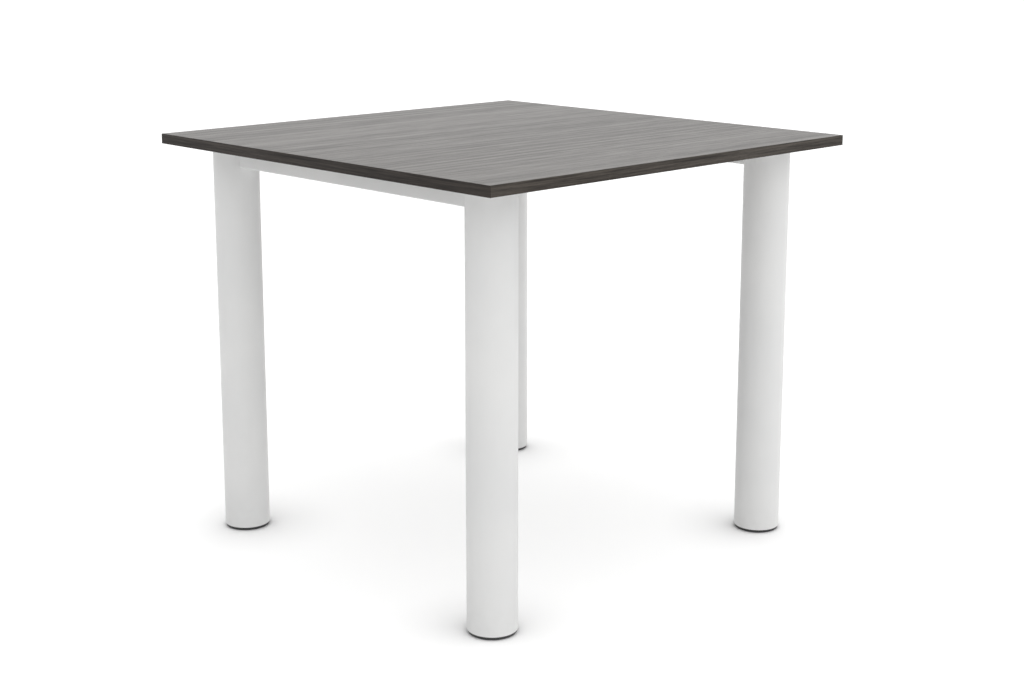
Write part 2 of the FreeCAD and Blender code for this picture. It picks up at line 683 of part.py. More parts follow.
def make_foot_nut(corner):
    """The flanged nut that the foot's thrust presses up into the plug."""
    x, y, turn = leg_place(corner)
    bore = "Sizes.stud_diameter / 2 + Sizes.running_clearance"
    flange = "Sizes.foot_nut_flange_diameter / 2"
    barrel = "Sizes.foot_nut_barrel_diameter / 2"
    top = f"{NUT_SEAT} + Sizes.foot_nut_barrel_length"
    nut = make_body(f"foot_nut_{corner}")
    outline = [(bore, CUP_TOP), (flange, CUP_TOP), (flange, NUT_SEAT)]
    revolve(nut, outline + [(barrel, NUT_SEAT), (barrel, top), (bore, top)])
    place(nut, x, y, turn=turn)


def make_foot_stud(corner):
    """The threaded stud, drawn plain at its outside diameter, with a hexagon head held in the base."""
    x, y, turn = leg_place(corner)
    seat = f"{HUB_TOP} - Sizes.stud_head_height"
    radius = "Sizes.stud_diameter / 2"
    tip = f"{HUB_TOP} + Sizes.stud_length"
    neck = f"{tip} - Sizes.screw_tip_chamfer"
    stud = make_body(f"foot_stud_{corner}")
    shank = [("0", seat), (radius, seat), (radius, neck)]
    revolve(stud, shank + [(f"{radius} - Sizes.screw_tip_chamfer", tip), ("0", tip)])
    head = make_sketch(stud, "XY_Plane", lift=seat)
    add_hexagon(head, "Sizes.stud_head_across_flats")
    extrude(stud, "Pad", head, "Sizes.stud_head_height")
    place(stud, x, y, turn=turn)


def make_foot_base(corner):
    """The turned disc of the foot: a recess for the sole below, a hub above and a fluted rim to grip."""
    x, y, turn = leg_place(corner)
    chamfer = "Sizes.base_edge_chamfer"
    bore = "Sizes.spigot_diameter / 2 + Sizes.running_clearance"
    recess = f"{SOLE_RADIUS} + Sizes.moving_gap"
    hub = "Sizes.hub_diameter / 2"
    ceiling = f"{SPIGOT_TOP} + Sizes.moving_gap"
    base = make_body(f"foot_base_{corner}")
    outline = [("0", ceiling), (bore, ceiling), (bore, "Sizes.sole_thickness")]
    outline += [(recess, "Sizes.sole_thickness"), (recess, "Sizes.sole_drop")]
    outline += [(f"{BASE_RADIUS} - {chamfer}", "Sizes.sole_drop")]
    outline += [(BASE_RADIUS, f"Sizes.sole_drop + {chamfer}"), (BASE_RADIUS, f"{BASE_TOP} - {chamfer}")]
    outline += [(f"{BASE_RADIUS} - {chamfer}", BASE_TOP), (hub, BASE_TOP), (hub, HUB_TOP), ("0", HUB_TOP)]
    revolve(base, outline)
    seat = make_sketch(base, "XY_Plane", lift=HUB_TOP)
    add_hexagon(seat, "(Sizes.stud_head_across_flats + 2 * Sizes.fit_clearance)")
    extrude(base, "Pocket", seat, "Sizes.stud_head_height")
    flute = make_sketch(base, "XY_Plane")
    add_circle(flute, "Sizes.flute_radius", x=f"{BASE_RADIUS} + Sizes.flute_radius - Sizes.flute_depth")
    cut = extrude(base, "Pocket", flute, "2 * Sizes.foot_height", symmetric=True)
    repeat_around(base, cut, "Sizes.flute_count")
    place(base, x, y, turn=turn)


def make_foot_sole(corner):
    """The soft disc that stays still on the floor while the base turns on its spigot."""
    x, y, turn = leg_place(corner)
    chamfer = "Sizes.sole_edge_chamfer"
    spigot = "Sizes.spigot_diameter / 2"
    sole = make_body(f"foot_sole_{corner}")
    outline = [("0", "0")]
    for ring in range(SOLE_GROOVES, 0, -1):
        middle = f"{SOLE_RADIUS} - {ring} * Sizes.sole_groove_pitch"
        near = f"{middle} - Sizes.sole_groove_width / 2"
        far = f"{middle} + Sizes.sole_groove_width / 2"
        outline += [(near, "0"), (near, "Sizes.sole_groove_depth")]
        outline += [(far, "Sizes.sole_groove_depth"), (far, "0")]
    outline += [(f"{SOLE_RADIUS} - {chamfer}", "0"), (SOLE_RADIUS, chamfer)]
    outline += [(SOLE_RADIUS, "Sizes.sole_thickness"), (spigot, "Sizes.sole_thickness")]
    revolve(sole, outline + [(spigot, SPIGOT_TOP), ("0", SPIGOT_TOP)])
    place(sole, x, y, turn=turn)


def check_model():
    """Stops if an object failed, a cut removed nothing or a node has no sound shape."""
    for item in doc.Objects:
        if "Invalid" in item.State or "Error" in item.State:
            raise RuntimeError(f"{item.Label} failed: {item.State}")
        if item.TypeId == "PartDesign::Pocket":
            if item.Shape.Volume > item.BaseFeature.Shape.Volume - TOUCH:
                raise RuntimeError(f"{item.Label} cuts nothing")
    for node in nodes:
        if node.Shape.isNull() or not node.Shape.isValid():
            raise RuntimeError(f"{node.Label} has no sound shape")


def write_nodes():
    """Writes each node's shape to its own file."""
    os.makedirs("parts", exist_ok=True)
    for node in nodes:
        node.Shape.exportStep(f"parts/{node.Label}.step")
        print(f"{node.Label}: {len(node.Shape.Solids)} solids, {node.Shape.Volume / 1000:.1f} cm3")


make_board()
make_edge_bands()
for end_side, end_name in zip(SIDES, ("left", "right")):
    make_rail(f"end_rail_{end_name}", end_side)
for long_side, long_name in zip(SIDES, ("front", "rear")):
    make_stretcher(f"stretcher_{long_name}", long_side)
for corner_name in CORNERS:
    make_leg(corner_name)
    make_rail_block(corner_name)
    make_saddle(corner_name)
    make_end_plate(corner_name)
    make_plug(corner_name)
    make_foot_nut(corner_name)
    make_foot_stud(corner_name)
    make_foot_base(corner_name)
    make_foot_sole(corner_name)
make_fasteners()
doc.recompute()
check_model()
write_nodes()
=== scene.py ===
# %% [markdown]
# # A counter height table, from bare frame to finished picture
# The table is a square woodgrain board on four round white legs. Its measured construction comes in
# as a fixed frame: every piece already stands in its place, in metres, with +Z up and the floor at
# zero. This lesson gives each surface its finish, adds the small worked shapes that a workshop
# leaves behind, such as weld beads and screw threads, and sets up the camera and the studio.

# %% Load the frame
import json
import math

import bmesh
import bpy
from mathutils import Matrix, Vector

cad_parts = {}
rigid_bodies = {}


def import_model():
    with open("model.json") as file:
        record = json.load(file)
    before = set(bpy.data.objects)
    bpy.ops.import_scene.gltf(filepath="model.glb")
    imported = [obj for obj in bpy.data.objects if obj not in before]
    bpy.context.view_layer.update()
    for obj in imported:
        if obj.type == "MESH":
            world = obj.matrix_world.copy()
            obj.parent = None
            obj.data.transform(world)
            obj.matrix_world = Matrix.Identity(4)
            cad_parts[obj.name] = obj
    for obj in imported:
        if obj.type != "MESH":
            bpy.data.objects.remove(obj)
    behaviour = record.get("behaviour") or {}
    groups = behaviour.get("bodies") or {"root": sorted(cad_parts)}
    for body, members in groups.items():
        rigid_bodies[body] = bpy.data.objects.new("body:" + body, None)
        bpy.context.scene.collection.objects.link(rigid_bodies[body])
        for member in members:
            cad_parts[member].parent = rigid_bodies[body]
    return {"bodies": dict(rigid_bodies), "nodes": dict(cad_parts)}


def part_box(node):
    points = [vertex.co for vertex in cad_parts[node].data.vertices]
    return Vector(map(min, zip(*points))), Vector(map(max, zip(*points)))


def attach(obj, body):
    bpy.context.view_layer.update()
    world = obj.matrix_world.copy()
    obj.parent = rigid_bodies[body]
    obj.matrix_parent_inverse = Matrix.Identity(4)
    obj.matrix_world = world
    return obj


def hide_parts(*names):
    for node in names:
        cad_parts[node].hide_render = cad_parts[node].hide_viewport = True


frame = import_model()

in_frame = set(frame["nodes"].values()) | set(frame["bodies"].values())
for leftover in [item for item in bpy.data.objects if item not in in_frame]:
    bpy.data.objects.remove(leftover)
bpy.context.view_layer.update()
print("pieces in the frame:", len(frame["nodes"]))

# %% [markdown]
# ## The camera
# The table is seen corner on, from a little above the board, with a long lens. A camera can be
# aimed by hand, or placed by numbers that were fitted to the known corners of the board and the
# legs. Numbers are used here. The camera looks a little down, and a small lens shift lifts the
# picture, so that the legs stay close to upright.

# %% Place the camera
IMAGE_WIDTH = 1024
FOCAL_PIXELS = 1637.7
SHIFT_PIXELS = 87
SENSOR_WIDTH = 36
CAMERA_PLACE = Vector((-2.795, -2.941, 1.513))
CAMERA_HEADING = math.radians(46.07)
CAMERA_DIP = math.radians(11.10)

scene = bpy.context.scene
camera = bpy.data.objects.new("camera", bpy.data.cameras.new("camera"))
scene.collection.objects.link(camera)
scene.camera = camera
camera.data.sensor_fit = "HORIZONTAL"
camera.data.sensor_width = SENSOR_WIDTH
camera.data.lens = FOCAL_PIXELS / IMAGE_WIDTH * SENSOR_WIDTH
camera.data.shift_y = -SHIFT_PIXELS / IMAGE_WIDTH
camera.location = CAMERA_PLACE
level = Vector((math.cos(CAMERA_HEADING), math.sin(CAMERA_HEADING), 0))
forward = level * math.cos(CAMERA_DIP) - Vector((0, 0, math.sin(CAMERA_DIP)))
camera.rotation_euler = forward.to_track_quat("-Z", "Y").to_euler()
print("lens, mm:", round(camera.data.lens, 1), "shift:", round(camera.data.shift_y, 3))

# %% [markdown]
# ## Helpers for nodes
# A material is a small program drawn as nodes. Written in Python, each node takes three steps: add
# it, set its options and wire its inputs. One helper does all three, so that the recipes below read
# like lists. An input is either a plain value or the output of an earlier node.

# %% Make nodes
def add_node(tree, kind, inputs=None, **options):
    """Adds one shader node, sets its options, and fills its inputs with values or links."""
    node = tree.nodes.new(f"ShaderNode{kind}")
    for name, option in options.items():
        setattr(node, name, option)
    for socket, source in (inputs or {}).items():
        if isinstance(source, bpy.types.NodeSocket):
            tree.links.new(source, node.inputs[socket])
        else:
            node.inputs[socket].default_value = source
    return node


def calculate(tree, operation, *inputs):
    """One Math node over one to three numbers."""
    return add_node(tree, "Math", dict(enumerate(inputs)), operation=operation).outputs[0]


def spread(tree, number, low, high, to_low=0.0, to_high=1.0):
    """Stretches the span from low to high of a number over a new span, and clips what lies outside."""
    span = {"Value": number, "From Min": low, "From Max": high, "To Min": to_low, "To Max": to_high}
    return add_node(tree, "MapRange", span).outputs[0]


print("node helpers ready")

# %% [markdown]
# ## White without more light
# The table stands on a white sweep with no horizon. More light could bleach the floor, but it would
# bleach the white legs too. So the light on the table stays moderate, and the floor and the
# surroundings are made white only for what the camera sees and for what shines back from a gloss. A
# Light Path node tells those rays from the rays that carry light.

# %% Tell the rays apart
WHITE = (1, 1, 1, 1)


def seen_directly(tree):
    """1 on rays from the camera, from a gloss or through glass, and 0 on the rays that carry light."""
    path = add_node(tree, "LightPath").outputs
    seen = calculate(tree, "MAXIMUM", path["Is Camera Ray"], path["Is Glossy Ray"])
    return calculate(tree, "MAXIMUM", seen, path["Is Transmission Ray"])


scene.view_settings.view_transform = "Standard"
print("view transform:", scene.view_settings.view_transform)

# %% [markdown]
# ## The studio light
# The light is so soft that only the table's own shade falls on the floor. Lamps could give it, but
# each would leave a highlight on the satin board. Here the surroundings themselves shine, as a tent
# of white cloth does. They shine more from overhead, which leaves the legs darker under the board,
# and a little more from behind the camera and from its right, so that each round leg is lighter on
# its right side. What an upright face sees of the overhead light on average is taken off again, so
# the legs keep their level when the overhead gain is changed.

# %% Light the surroundings
SKY_LIGHT = 0.81
OVERHEAD_GAIN = 0.8
OVERHEAD_ON_UPRIGHT = 0.25
LEAN_TO_RIGHT = 0.34
LEAN_TO_CAMERA = 0.20

to_right = Vector((forward.y, -forward.x, 0)).normalized()
lean = to_right * LEAN_TO_RIGHT - level * LEAN_TO_CAMERA
world = bpy.data.worlds.new("studio")
world.use_nodes = True
scene.world = world
tree = world.node_tree
ray = add_node(tree, "TexCoord").outputs["Generated"]
sideways = add_node(tree, "VectorMath", {0: ray, 1: lean}, operation="DOT_PRODUCT").outputs["Value"]
upward = add_node(tree, "SeparateXYZ", {0: ray}).outputs["Z"]
overhead = calculate(tree, "MULTIPLY_ADD", upward, upward, -OVERHEAD_ON_UPRIGHT)
extra = calculate(tree, "MULTIPLY_ADD", overhead, OVERHEAD_GAIN, sideways)
strength = calculate(tree, "MULTIPLY_ADD", extra, SKY_LIGHT, SKY_LIGHT)
light = tree.nodes["Background"]
light.inputs["Color"].default_value = WHITE
tree.links.new(strength, light.inputs["Strength"])
shown = add_node(tree, "Background", {"Color": WHITE, "Strength": 1.0})
both = add_node(tree, "MixShader", {0: seen_directly(tree), 1: light.outputs[0], 2: shown.outputs[0]})
tree.links.new(both.outputs[0], tree.nodes["World Output"].inputs["Surface"])
from_overhead = SKY_LIGHT * (1 + OVERHEAD_GAIN * (1 - OVERHEAD_ON_UPRIGHT))
print("light from overhead:", round(from_overhead, 2))

# %% [markdown]
# ## The floor
# The floor adds its own lit colour to a glow, so it turns white and still keeps the table's shade.
# The glow fades where something stands close, which an Ambient Occlusion node finds, so each foot
# sits in a soft painted contact shadow. From below the floor is clear, so that the underside of the
# table can be looked at too. It lies a hair above the undersides of the soles, because two faces in
# one plane would flicker through each other.

# %% Lay the floor
FLOOR_COLOUR = (0.93, 0.93, 0.93, 1)
FLOOR_GLOW = 0.335
CONTACT_REACH = 0.2
CONTACT_DARK = 0.5
FLOOR_REACH = 40.0
FLOOR_RISE = 0.0001

floor_material = bpy.data.materials.new("floor_white")
floor_material.use_nodes = True
tree = floor_material.node_tree
tree.nodes.remove(tree.nodes["Principled BSDF"])
matt = add_node(tree, "BsdfDiffuse", {"Color": FLOOR_COLOUR})
# Painted contact shadow: the glow is cut back where the Ambient Occlusion node finds something close.
openness = add_node(tree, "AmbientOcclusion", {"Distance": CONTACT_REACH}).outputs["AO"]
open_glow = spread(tree, openness, CONTACT_DARK, 1.0, 0.0, FLOOR_GLOW)
glow_share = calculate(tree, "MULTIPLY", seen_directly(tree), open_glow)
glow = add_node(tree, "Emission", {"Color": WHITE, "Strength": glow_share})
lit = add_node(tree, "AddShader", {0: matt.outputs[0], 1: glow.outputs[0]})
from_below = add_node(tree, "NewGeometry").outputs["Backfacing"]
clear = add_node(tree, "BsdfTransparent")
one_sided = add_node(tree, "MixShader", {0: from_below, 1: lit.outputs[0], 2: clear.outputs[0]})
tree.links.new(one_sided.outputs[0], tree.nodes["Material Output"].inputs["Surface"])

floor_mesh = bpy.data.meshes.new("floor")
floor_signs = ((-1, -1), (1, -1), (1, 1), (-1, 1))
floor_corners = [(x * FLOOR_REACH, y * FLOOR_REACH, FLOOR_RISE) for x, y in floor_signs]
floor_mesh.from_pydata(floor_corners, [], [(0, 1, 2, 3)])
floor_mesh.materials.append(floor_material)
floor = bpy.data.objects.new("floor", floor_mesh)
scene.collection.objects.link(floor)
print("floor reach, metres:", FLOOR_REACH)

# %% [markdown]
# ## Groups for shared effects
# Grain, worn edges, relief and dust come back in several finishes. Each could be drawn again in
# every material, but then a better version has to be copied by hand. A node group is drawn once and
# placed where it is needed, and its named sockets say what may differ from place to place.

# %% Make groups
MIX_COLOUR_A = 6
MIX_COLOUR_B = 7
MIX_COLOUR_RESULT = 2


def mix_colours(tree, share, first, second):
    """Blends two colours by a share from 0 to 1. The Mix node's colour sockets are found by number."""
    inputs = {0: share, MIX_COLOUR_A: first, MIX_COLOUR_B: second}
    return add_node(tree, "Mix", inputs, data_type="RGBA").outputs[MIX_COLOUR_RESULT]


def new_group(name, inputs, outputs):
    """An empty node group with named sockets, and the sockets as seen from inside."""
    group = bpy.data.node_groups.new(name, "ShaderNodeTree")
    for in_out, sockets in (("INPUT", inputs), ("OUTPUT", outputs)):
        for socket, kind in sockets.items():
            group.interface.new_socket(socket, in_out=in_out, socket_type=f"NodeSocket{kind}")
    given = group.nodes.new("NodeGroupInput").outputs
    wanted = group.nodes.new("NodeGroupOutput").inputs
    return group, given, wanted


def place_group(tree, group, **sockets):
    """Places a shared effect in a material with its own values, and gives its outputs."""
    return add_node(tree, "Group", sockets, node_tree=group).outputs


print("group helpers ready")

# %% [markdown]
# ## Shared effect: woodgrain
# The board's face is a printed laminate that copies straight-grained, dark stained wood, and the
# edge bands carry the same print. A picture of wood would do, but noise that is stretched along the
# grain needs no picture and never repeats. Stretched noises are laid over each other: long veins
# that run the whole board, shorter bands, streaks, fine lines and dark pores. A slow sideways
# wander keeps them from being ruled. How far the veins take the place of the bands is an input,
# because a narrow strip has no room for them.

# %% Woodgrain group
# Each noise has its changes per metre along the grain, those across it, and its detail.
WANDER_NOISE = (0.8, 2.5, 1.0)
VEIN_NOISE = (0.35, 72.0, 1.0)
BAND_NOISE = (2.4, 95.0, 3.0)
STREAK_NOISE = (7.0, 230.0, 4.0)
LINE_NOISE = (16.0, 620.0, 2.0)
PORE_NOISE = (40.0, 1500.0, 1.0)
GRAIN_ROUGHNESS = 0.6
GRAIN_WANDER = 0.012
NOISE_MIDDLE = 0.5
BROAD_SHARE = 0.42
STREAK_SHARE = 0.34
LINE_SHARE = 0.24
TONE_RANGE = (0.41, 0.59)
PORE_RANGE = (0.58, 0.68)
PORE_SHARE = 0.6
PORE_COLOUR = (0.010, 0.009, 0.008, 1)


def stretched_noise(tree, place, noise):
    """Noise drawn out along the X of a place."""
    along, across, detail = noise
    drawn = add_node(tree, "VectorMath", {0: place, 1: (along, across, across)}, operation="MULTIPLY")
    inputs = {"Vector": drawn.outputs[0], "Scale": 1.0, "Detail": detail, "Roughness": GRAIN_ROUGHNESS}
    return add_node(tree, "TexNoise", inputs).outputs[0]


def make_woodgrain():
    """Grain along the X of the place that it is given."""
    inputs = {"Place": "Vector", "Veins": "Float", "Dark": "Color", "Light": "Color"}
    outputs = {"Color": "Color", "Tone": "Float", "Height": "Float"}
    group, given, wanted = new_group("Woodgrain", inputs, outputs)
    wander = stretched_noise(group, given["Place"], WANDER_NOISE)
    centred = calculate(group, "SUBTRACT", wander, NOISE_MIDDLE)
    step = add_node(group, "CombineXYZ", {"Y": calculate(group, "MULTIPLY", centred, GRAIN_WANDER)})
    place = add_node(group, "VectorMath", {0: given["Place"], 1: step.outputs[0]}).outputs[0]
    veins = stretched_noise(group, place, VEIN_NOISE)
    bands = stretched_noise(group, place, BAND_NOISE)
    streaks = stretched_noise(group, place, STREAK_NOISE)
    lines = stretched_noise(group, place, LINE_NOISE)
    pores = spread(group, stretched_noise(group, place, PORE_NOISE), *PORE_RANGE)
    to_veins = calculate(group, "SUBTRACT", veins, bands)
    broad = calculate(group, "MULTIPLY_ADD", to_veins, given["Veins"], bands)
    tone = calculate(group, "MULTIPLY", broad, BROAD_SHARE)
    tone = calculate(group, "MULTIPLY_ADD", streaks, STREAK_SHARE, tone)
    tone = calculate(group, "MULTIPLY_ADD", lines, LINE_SHARE, tone)
    tone = spread(group, tone, *TONE_RANGE)
    colour = mix_colours(group, tone, given["Dark"], given["Light"])
    colour = mix_colours(group, calculate(group, "MULTIPLY", pores, PORE_SHARE), colour, PORE_COLOUR)
    height = calculate(group, "SUBTRACT", lines, pores)
    group.links.new(colour, wanted["Color"])
    group.links.new(tone, wanted["Tone"])
    group.links.new(height, wanted["Height"])
    return group


woodgrain = make_woodgrain()
print("woodgrain nodes:", len(woodgrain.nodes))

# %% [markdown]
# ## Shared effect: edge wear
# On real furniture every sharp edge shows: a coat runs thin there, an edge band is scraped flush,
# and moulded plastic is rubbed. Such edges could be painted by hand. Here they are found by
# comparing the surface's own direction with the direction that a softly rounded edge would have,
# which the Bevel node gives. Where the two differ there is an edge, and a noise breaks it up.

# %% Edge wear group
BEVEL_SAMPLES = 6
EDGE_LIKENESS = (0.995, 0.90)
WEAR_DETAIL = 4.0
WEAR_RANGE = (0.30, 0.62)
WEAR_LEAST = 0.35


def make_edge_wear():
    """A mask that is 1 along the edges and 0 elsewhere."""
    inputs = {"Place": "Vector", "Width": "Float", "Patches": "Float"}
    group, given, wanted = new_group("Edge wear", inputs, {"Mask": "Float"})
    rounded = add_node(group, "Bevel", {"Radius": given["Width"]}, samples=BEVEL_SAMPLES).outputs[0]
    surface = add_node(group, "NewGeometry").outputs["Normal"]
    facing = {0: rounded, 1: surface}
    likeness = add_node(group, "VectorMath", facing, operation="DOT_PRODUCT").outputs["Value"]
    edge = spread(group, likeness, *EDGE_LIKENESS)
    noise = {"Vector": given["Place"], "Scale": given["Patches"], "Detail": WEAR_DETAIL}
    patches = spread(group, add_node(group, "TexNoise", noise).outputs[0], *WEAR_RANGE, WEAR_LEAST)
    group.links.new(calculate(group, "MULTIPLY", edge, patches), wanted["Mask"])
    return group


edge_wear = make_edge_wear()
print("edge wear nodes:", len(edge_wear.nodes))

# %% [markdown]
# ## Shared effect: fine relief
# Powder paint dries with a skin like an orange's, moulded nylon has a spark-eroded grain, and
# rubber is dull with tiny pits. All three are the same idea at different sizes: a small even noise
# for the height and a large slow one that lets colour and gloss drift a little, so that no surface
# is one flat tone.

# %% Fine relief group
DIMPLE_DETAIL = 2.0
DIMPLE_ROUGHNESS = 0.45
DRIFT_DETAIL = 3.0
DRIFT_RANGE = (0.35, 0.65)


def make_fine_relief():
    """A height of small dimples and a slow drift from 0 to 1, both in changes per metre."""
    inputs = {"Place": "Vector", "Dimples": "Float", "Drift": "Float"}
    group, given, wanted = new_group("Fine relief", inputs, {"Height": "Float", "Drift": "Float"})
    small = {"Vector": given["Place"], "Scale": given["Dimples"]}
    small |= {"Detail": DIMPLE_DETAIL, "Roughness": DIMPLE_ROUGHNESS}
    slow = {"Vector": given["Place"], "Scale": given["Drift"], "Detail": DRIFT_DETAIL}
    height = add_node(group, "TexNoise", small).outputs[0]
    drift = add_node(group, "TexNoise", slow).outputs[0]
    group.links.new(height, wanted["Height"])
    group.links.new(spread(group, drift, *DRIFT_RANGE), wanted["Drift"])
    return group


fine_relief = make_fine_relief()
print("fine relief nodes:", len(fine_relief.nodes))

# %% [markdown]
# ## Shared effect: floor dust
# What stands on a floor gathers a breath of dust low down, where mops and shoes pass. The dust
# fades out within a hand's height of the floor and lies in soft patches. It is kept very thin,
# because this table is new and clean.

# %% Floor dust group
DUST_COLOUR = (0.42, 0.40, 0.37, 1)
DUST_PATCHES = 45.0
DUST_DETAIL = 4.0
DUST_RANGE = (0.40, 0.70)


def make_floor_dust():
    """A mask that fades upward from the floor."""
    inputs = {"Place": "Vector", "Reach": "Float"}
    group, given, wanted = new_group("Floor dust", inputs, {"Mask": "Float"})
    height = add_node(group, "SeparateXYZ", {0: given["Place"]}).outputs["Z"]
    fade = spread(group, calculate(group, "DIVIDE", height, given["Reach"]), 1.0, 0.0)
    noise = {"Vector": given["Place"], "Scale": DUST_PATCHES, "Detail": DUST_DETAIL}
    patches = spread(group, add_node(group, "TexNoise", noise).outputs[0], *DUST_RANGE)
    group.links.new(calculate(group, "MULTIPLY", fade, patches), wanted["Mask"])
    return group


floor_dust = make_floor_dust()
print("floor dust nodes:", len(floor_dust.nodes))

# %% [markdown]
# ## Putting a finish on a piece
# A piece of the frame keeps its shape, and only the finish in its material slot is changed. Pieces
# that come four times, one at each corner, are named by their corner, so one call can dress all
# four. Every finish starts from the same few steps: a new material, a roughness that follows some
# noise, and a height that tilts the light.

# %% Dress the pieces
CORNERS = {"front_left": (-1, -1), "front_right": (1, -1), "rear_left": (-1, 1), "rear_right": (1, 1)}
dressed = set()


def new_material(name):
    """A material with its tree, its main shader and the place on the piece in metres."""
    material = bpy.data.materials.new(name)
    material.use_nodes = True
    tree = material.node_tree
    place = add_node(tree, "TexCoord").outputs["Object"]
    return material, tree, tree.nodes["Principled BSDF"], place


def set_roughness(tree, shader, share, at_none, at_full):
    """Lets the roughness follow a share from 0 to 1."""
    tree.links.new(spread(tree, share, 0.0, 1.0, at_none, at_full), shader.inputs["Roughness"])


def raise_surface(tree, shader, height, strength, distance):
    """Feeds a height through a Bump node to the shader's normal."""
    bump = add_node(tree, "Bump", {"Height": height, "Strength": strength, "Distance": distance})
    tree.links.new(bump.outputs[0], shader.inputs["Normal"])


def dress(material, *names):
    """Gives the named pieces of the frame a finish. A name ending in _ stands for all four corners."""
    for name in names:
        for piece in [name + corner for corner in CORNERS] if name.endswith("_") else [name]:
            for slot in frame["nodes"][piece].material_slots:
                slot.material = material
            dressed.add(piece)
    print(material.name, "on", ", ".join(names))


print("corners:", ", ".join(CORNERS))

# %% [markdown]
# ## Finish: woodgrain laminate
# Seen at a low angle the board looks mid grey, yet its edges are nearly black. That is not two
# colours: a satin surface shines more the flatter it is looked at, and here it mirrors the white
# surroundings. So the print stays dark, as the edges show it, and the shine is left to the shader.
# The dark streaks are a little duller than the light ones, so the grain still shows in the shine.

# %% Laminate for the board's face and back
LAMINATE_DARK = (0.036, 0.030, 0.025, 1)
LAMINATE_LIGHT = (0.125, 0.107, 0.092, 1)
LAMINATE_VEINS = 0.62
LAMINATE_DULL = 0.41
LAMINATE_SATIN = 0.28
LAMINATE_RELIEF = (0.12, 0.0003)


def make_laminate():
    """Woodgrain along X with a satin face."""
    material, tree, shader, place = new_material("woodgrain_laminate_print")
    tones = {"Dark": LAMINATE_DARK, "Light": LAMINATE_LIGHT}
    grain = place_group(tree, woodgrain, Place=place, Veins=LAMINATE_VEINS, **tones)
    tree.links.new(grain["Color"], shader.inputs["Base Color"])
    set_roughness(tree, shader, grain["Tone"], LAMINATE_DULL, LAMINATE_SATIN)
    raise_surface(tree, shader, grain["Height"], *LAMINATE_RELIEF)
    return material


dress(make_laminate(), "top_laminate", "backing_sheet")

# %% [markdown]
# ## Finish: edge bands
# The bands are strips of the same print, glued round the board with their grain along the strip and
# their outer edges scraped to a small radius. A thin lighter line along those edges is partly scraped
# wear and partly a painted highlight where the radius catches the light. The grain of the front and
# rear bands runs along X and that of the side bands along Y, so each pair hands the group its own
# order of the three directions. The side bands take a darker copy of the same print, as painted shade
# for the sides that get less light.

# %% Edge bands
FRONT_BAND_TONES = {"Dark": (0.021, 0.017, 0.014, 1), "Light": (0.086, 0.073, 0.061, 1)}
# The side bands' tones are a darker copy of the front bands' print: painted shade, not a different
# print.
SIDE_BAND_PAINTED_SHADE_TONES = {"Dark": (0.010, 0.008, 0.0065, 1), "Light": (0.046, 0.037, 0.031, 1)}
BAND_VEINS = 0.0
BAND_DULL = 0.55
BAND_SATIN = 0.42
BAND_SPECULAR = 0.18
BAND_RELIEF = (0.15, 0.0003)
# The lighter edge line is partly scraped wear and partly a painted highlight along the rounded edge.
SCRAPED_EDGE_AND_HIGHLIGHT_COLOUR = (0.13, 0.11, 0.095, 1)
SCRAPED_EDGE_AND_HIGHLIGHT_WIDTH = 0.0012
SCRAPED_EDGE_AND_HIGHLIGHT_PATCHES = 90.0
SCRAPED_EDGE_AND_HIGHLIGHT_SHARE = 0.55


def cover(tree, colour, mask, share, over):
    """Lays a second colour over the first where a mask says so, by at most a share."""
    return mix_colours(tree, calculate(tree, "MULTIPLY", mask, share), colour, over)


def make_band_finish(name, along, third, tones):
    """Woodgrain along one direction of the table, across its height, between two tones."""
    material, tree, shader, place = new_material(name)
    parts = add_node(tree, "SeparateXYZ", {0: place}).outputs
    turned = add_node(tree, "CombineXYZ", {"X": parts[along], "Y": parts["Z"], "Z": parts[third]})
    grain = place_group(tree, woodgrain, Place=turned.outputs[0], Veins=BAND_VEINS, **tones)
    wear = place_group(tree, edge_wear, Place=place, Width=SCRAPED_EDGE_AND_HIGHLIGHT_WIDTH, Patches=SCRAPED_EDGE_AND_HIGHLIGHT_PATCHES)
    # Lighter edge line: scraped wear together with a painted highlight.
    colour = cover(tree, grain["Color"], wear["Mask"], SCRAPED_EDGE_AND_HIGHLIGHT_SHARE, SCRAPED_EDGE_AND_HIGHLIGHT_COLOUR)
    tree.links.new(colour, shader.inputs["Base Color"])
    set_roughness(tree, shader, grain["Tone"], BAND_DULL, BAND_SATIN)
    shader.inputs["Specular IOR Level"].default_value = BAND_SPECULAR
    raise_surface(tree, shader, grain["Height"], *BAND_RELIEF)
    return material


front_band = make_band_finish("woodgrain_band_along_x", "X", "Y", FRONT_BAND_TONES)
side_band = make_band_finish("woodgrain_band_along_y", "Y", "X", SIDE_BAND_PAINTED_SHADE_TONES)
dress(front_band, "edge_band_front", "edge_band_rear")
dress(side_band, "edge_band_left", "edge_band_right")

# %% [markdown]
# ## Finish: particle board
# Between the two laminates lies pressed wood chip. Only the rims of the screw holes ever show it,
# but a piece that comes apart should be right inside too. A noise would look like sponge. A texture
# of cells, each with its own random tone, makes good chips.

# %% Particle board core
CHIP_PALE = (0.62, 0.49, 0.33, 1)
CHIP_DARK = (0.36, 0.25, 0.15, 1)
CHIPS_PER_METRE = 320.0
CHIP_ROUGHNESS = 0.9
CHIP_RELIEF = (0.5, 0.0006)


def make_particle_board():
    """Pressed chips of a few millimetres."""
    material, tree, shader, place = new_material("particle_board")
    chips = add_node(tree, "TexVoronoi", {"Vector": place, "Scale": CHIPS_PER_METRE}).outputs
    tone = add_node(tree, "SeparateXYZ", {0: chips["Color"]}).outputs["X"]
    tree.links.new(mix_colours(tree, tone, CHIP_PALE, CHIP_DARK), shader.inputs["Base Color"])
    shader.inputs["Roughness"].default_value = CHIP_ROUGHNESS
    raise_surface(tree, shader, chips["Distance"], *CHIP_RELIEF)
    return material


dress(make_particle_board(), "top_core")

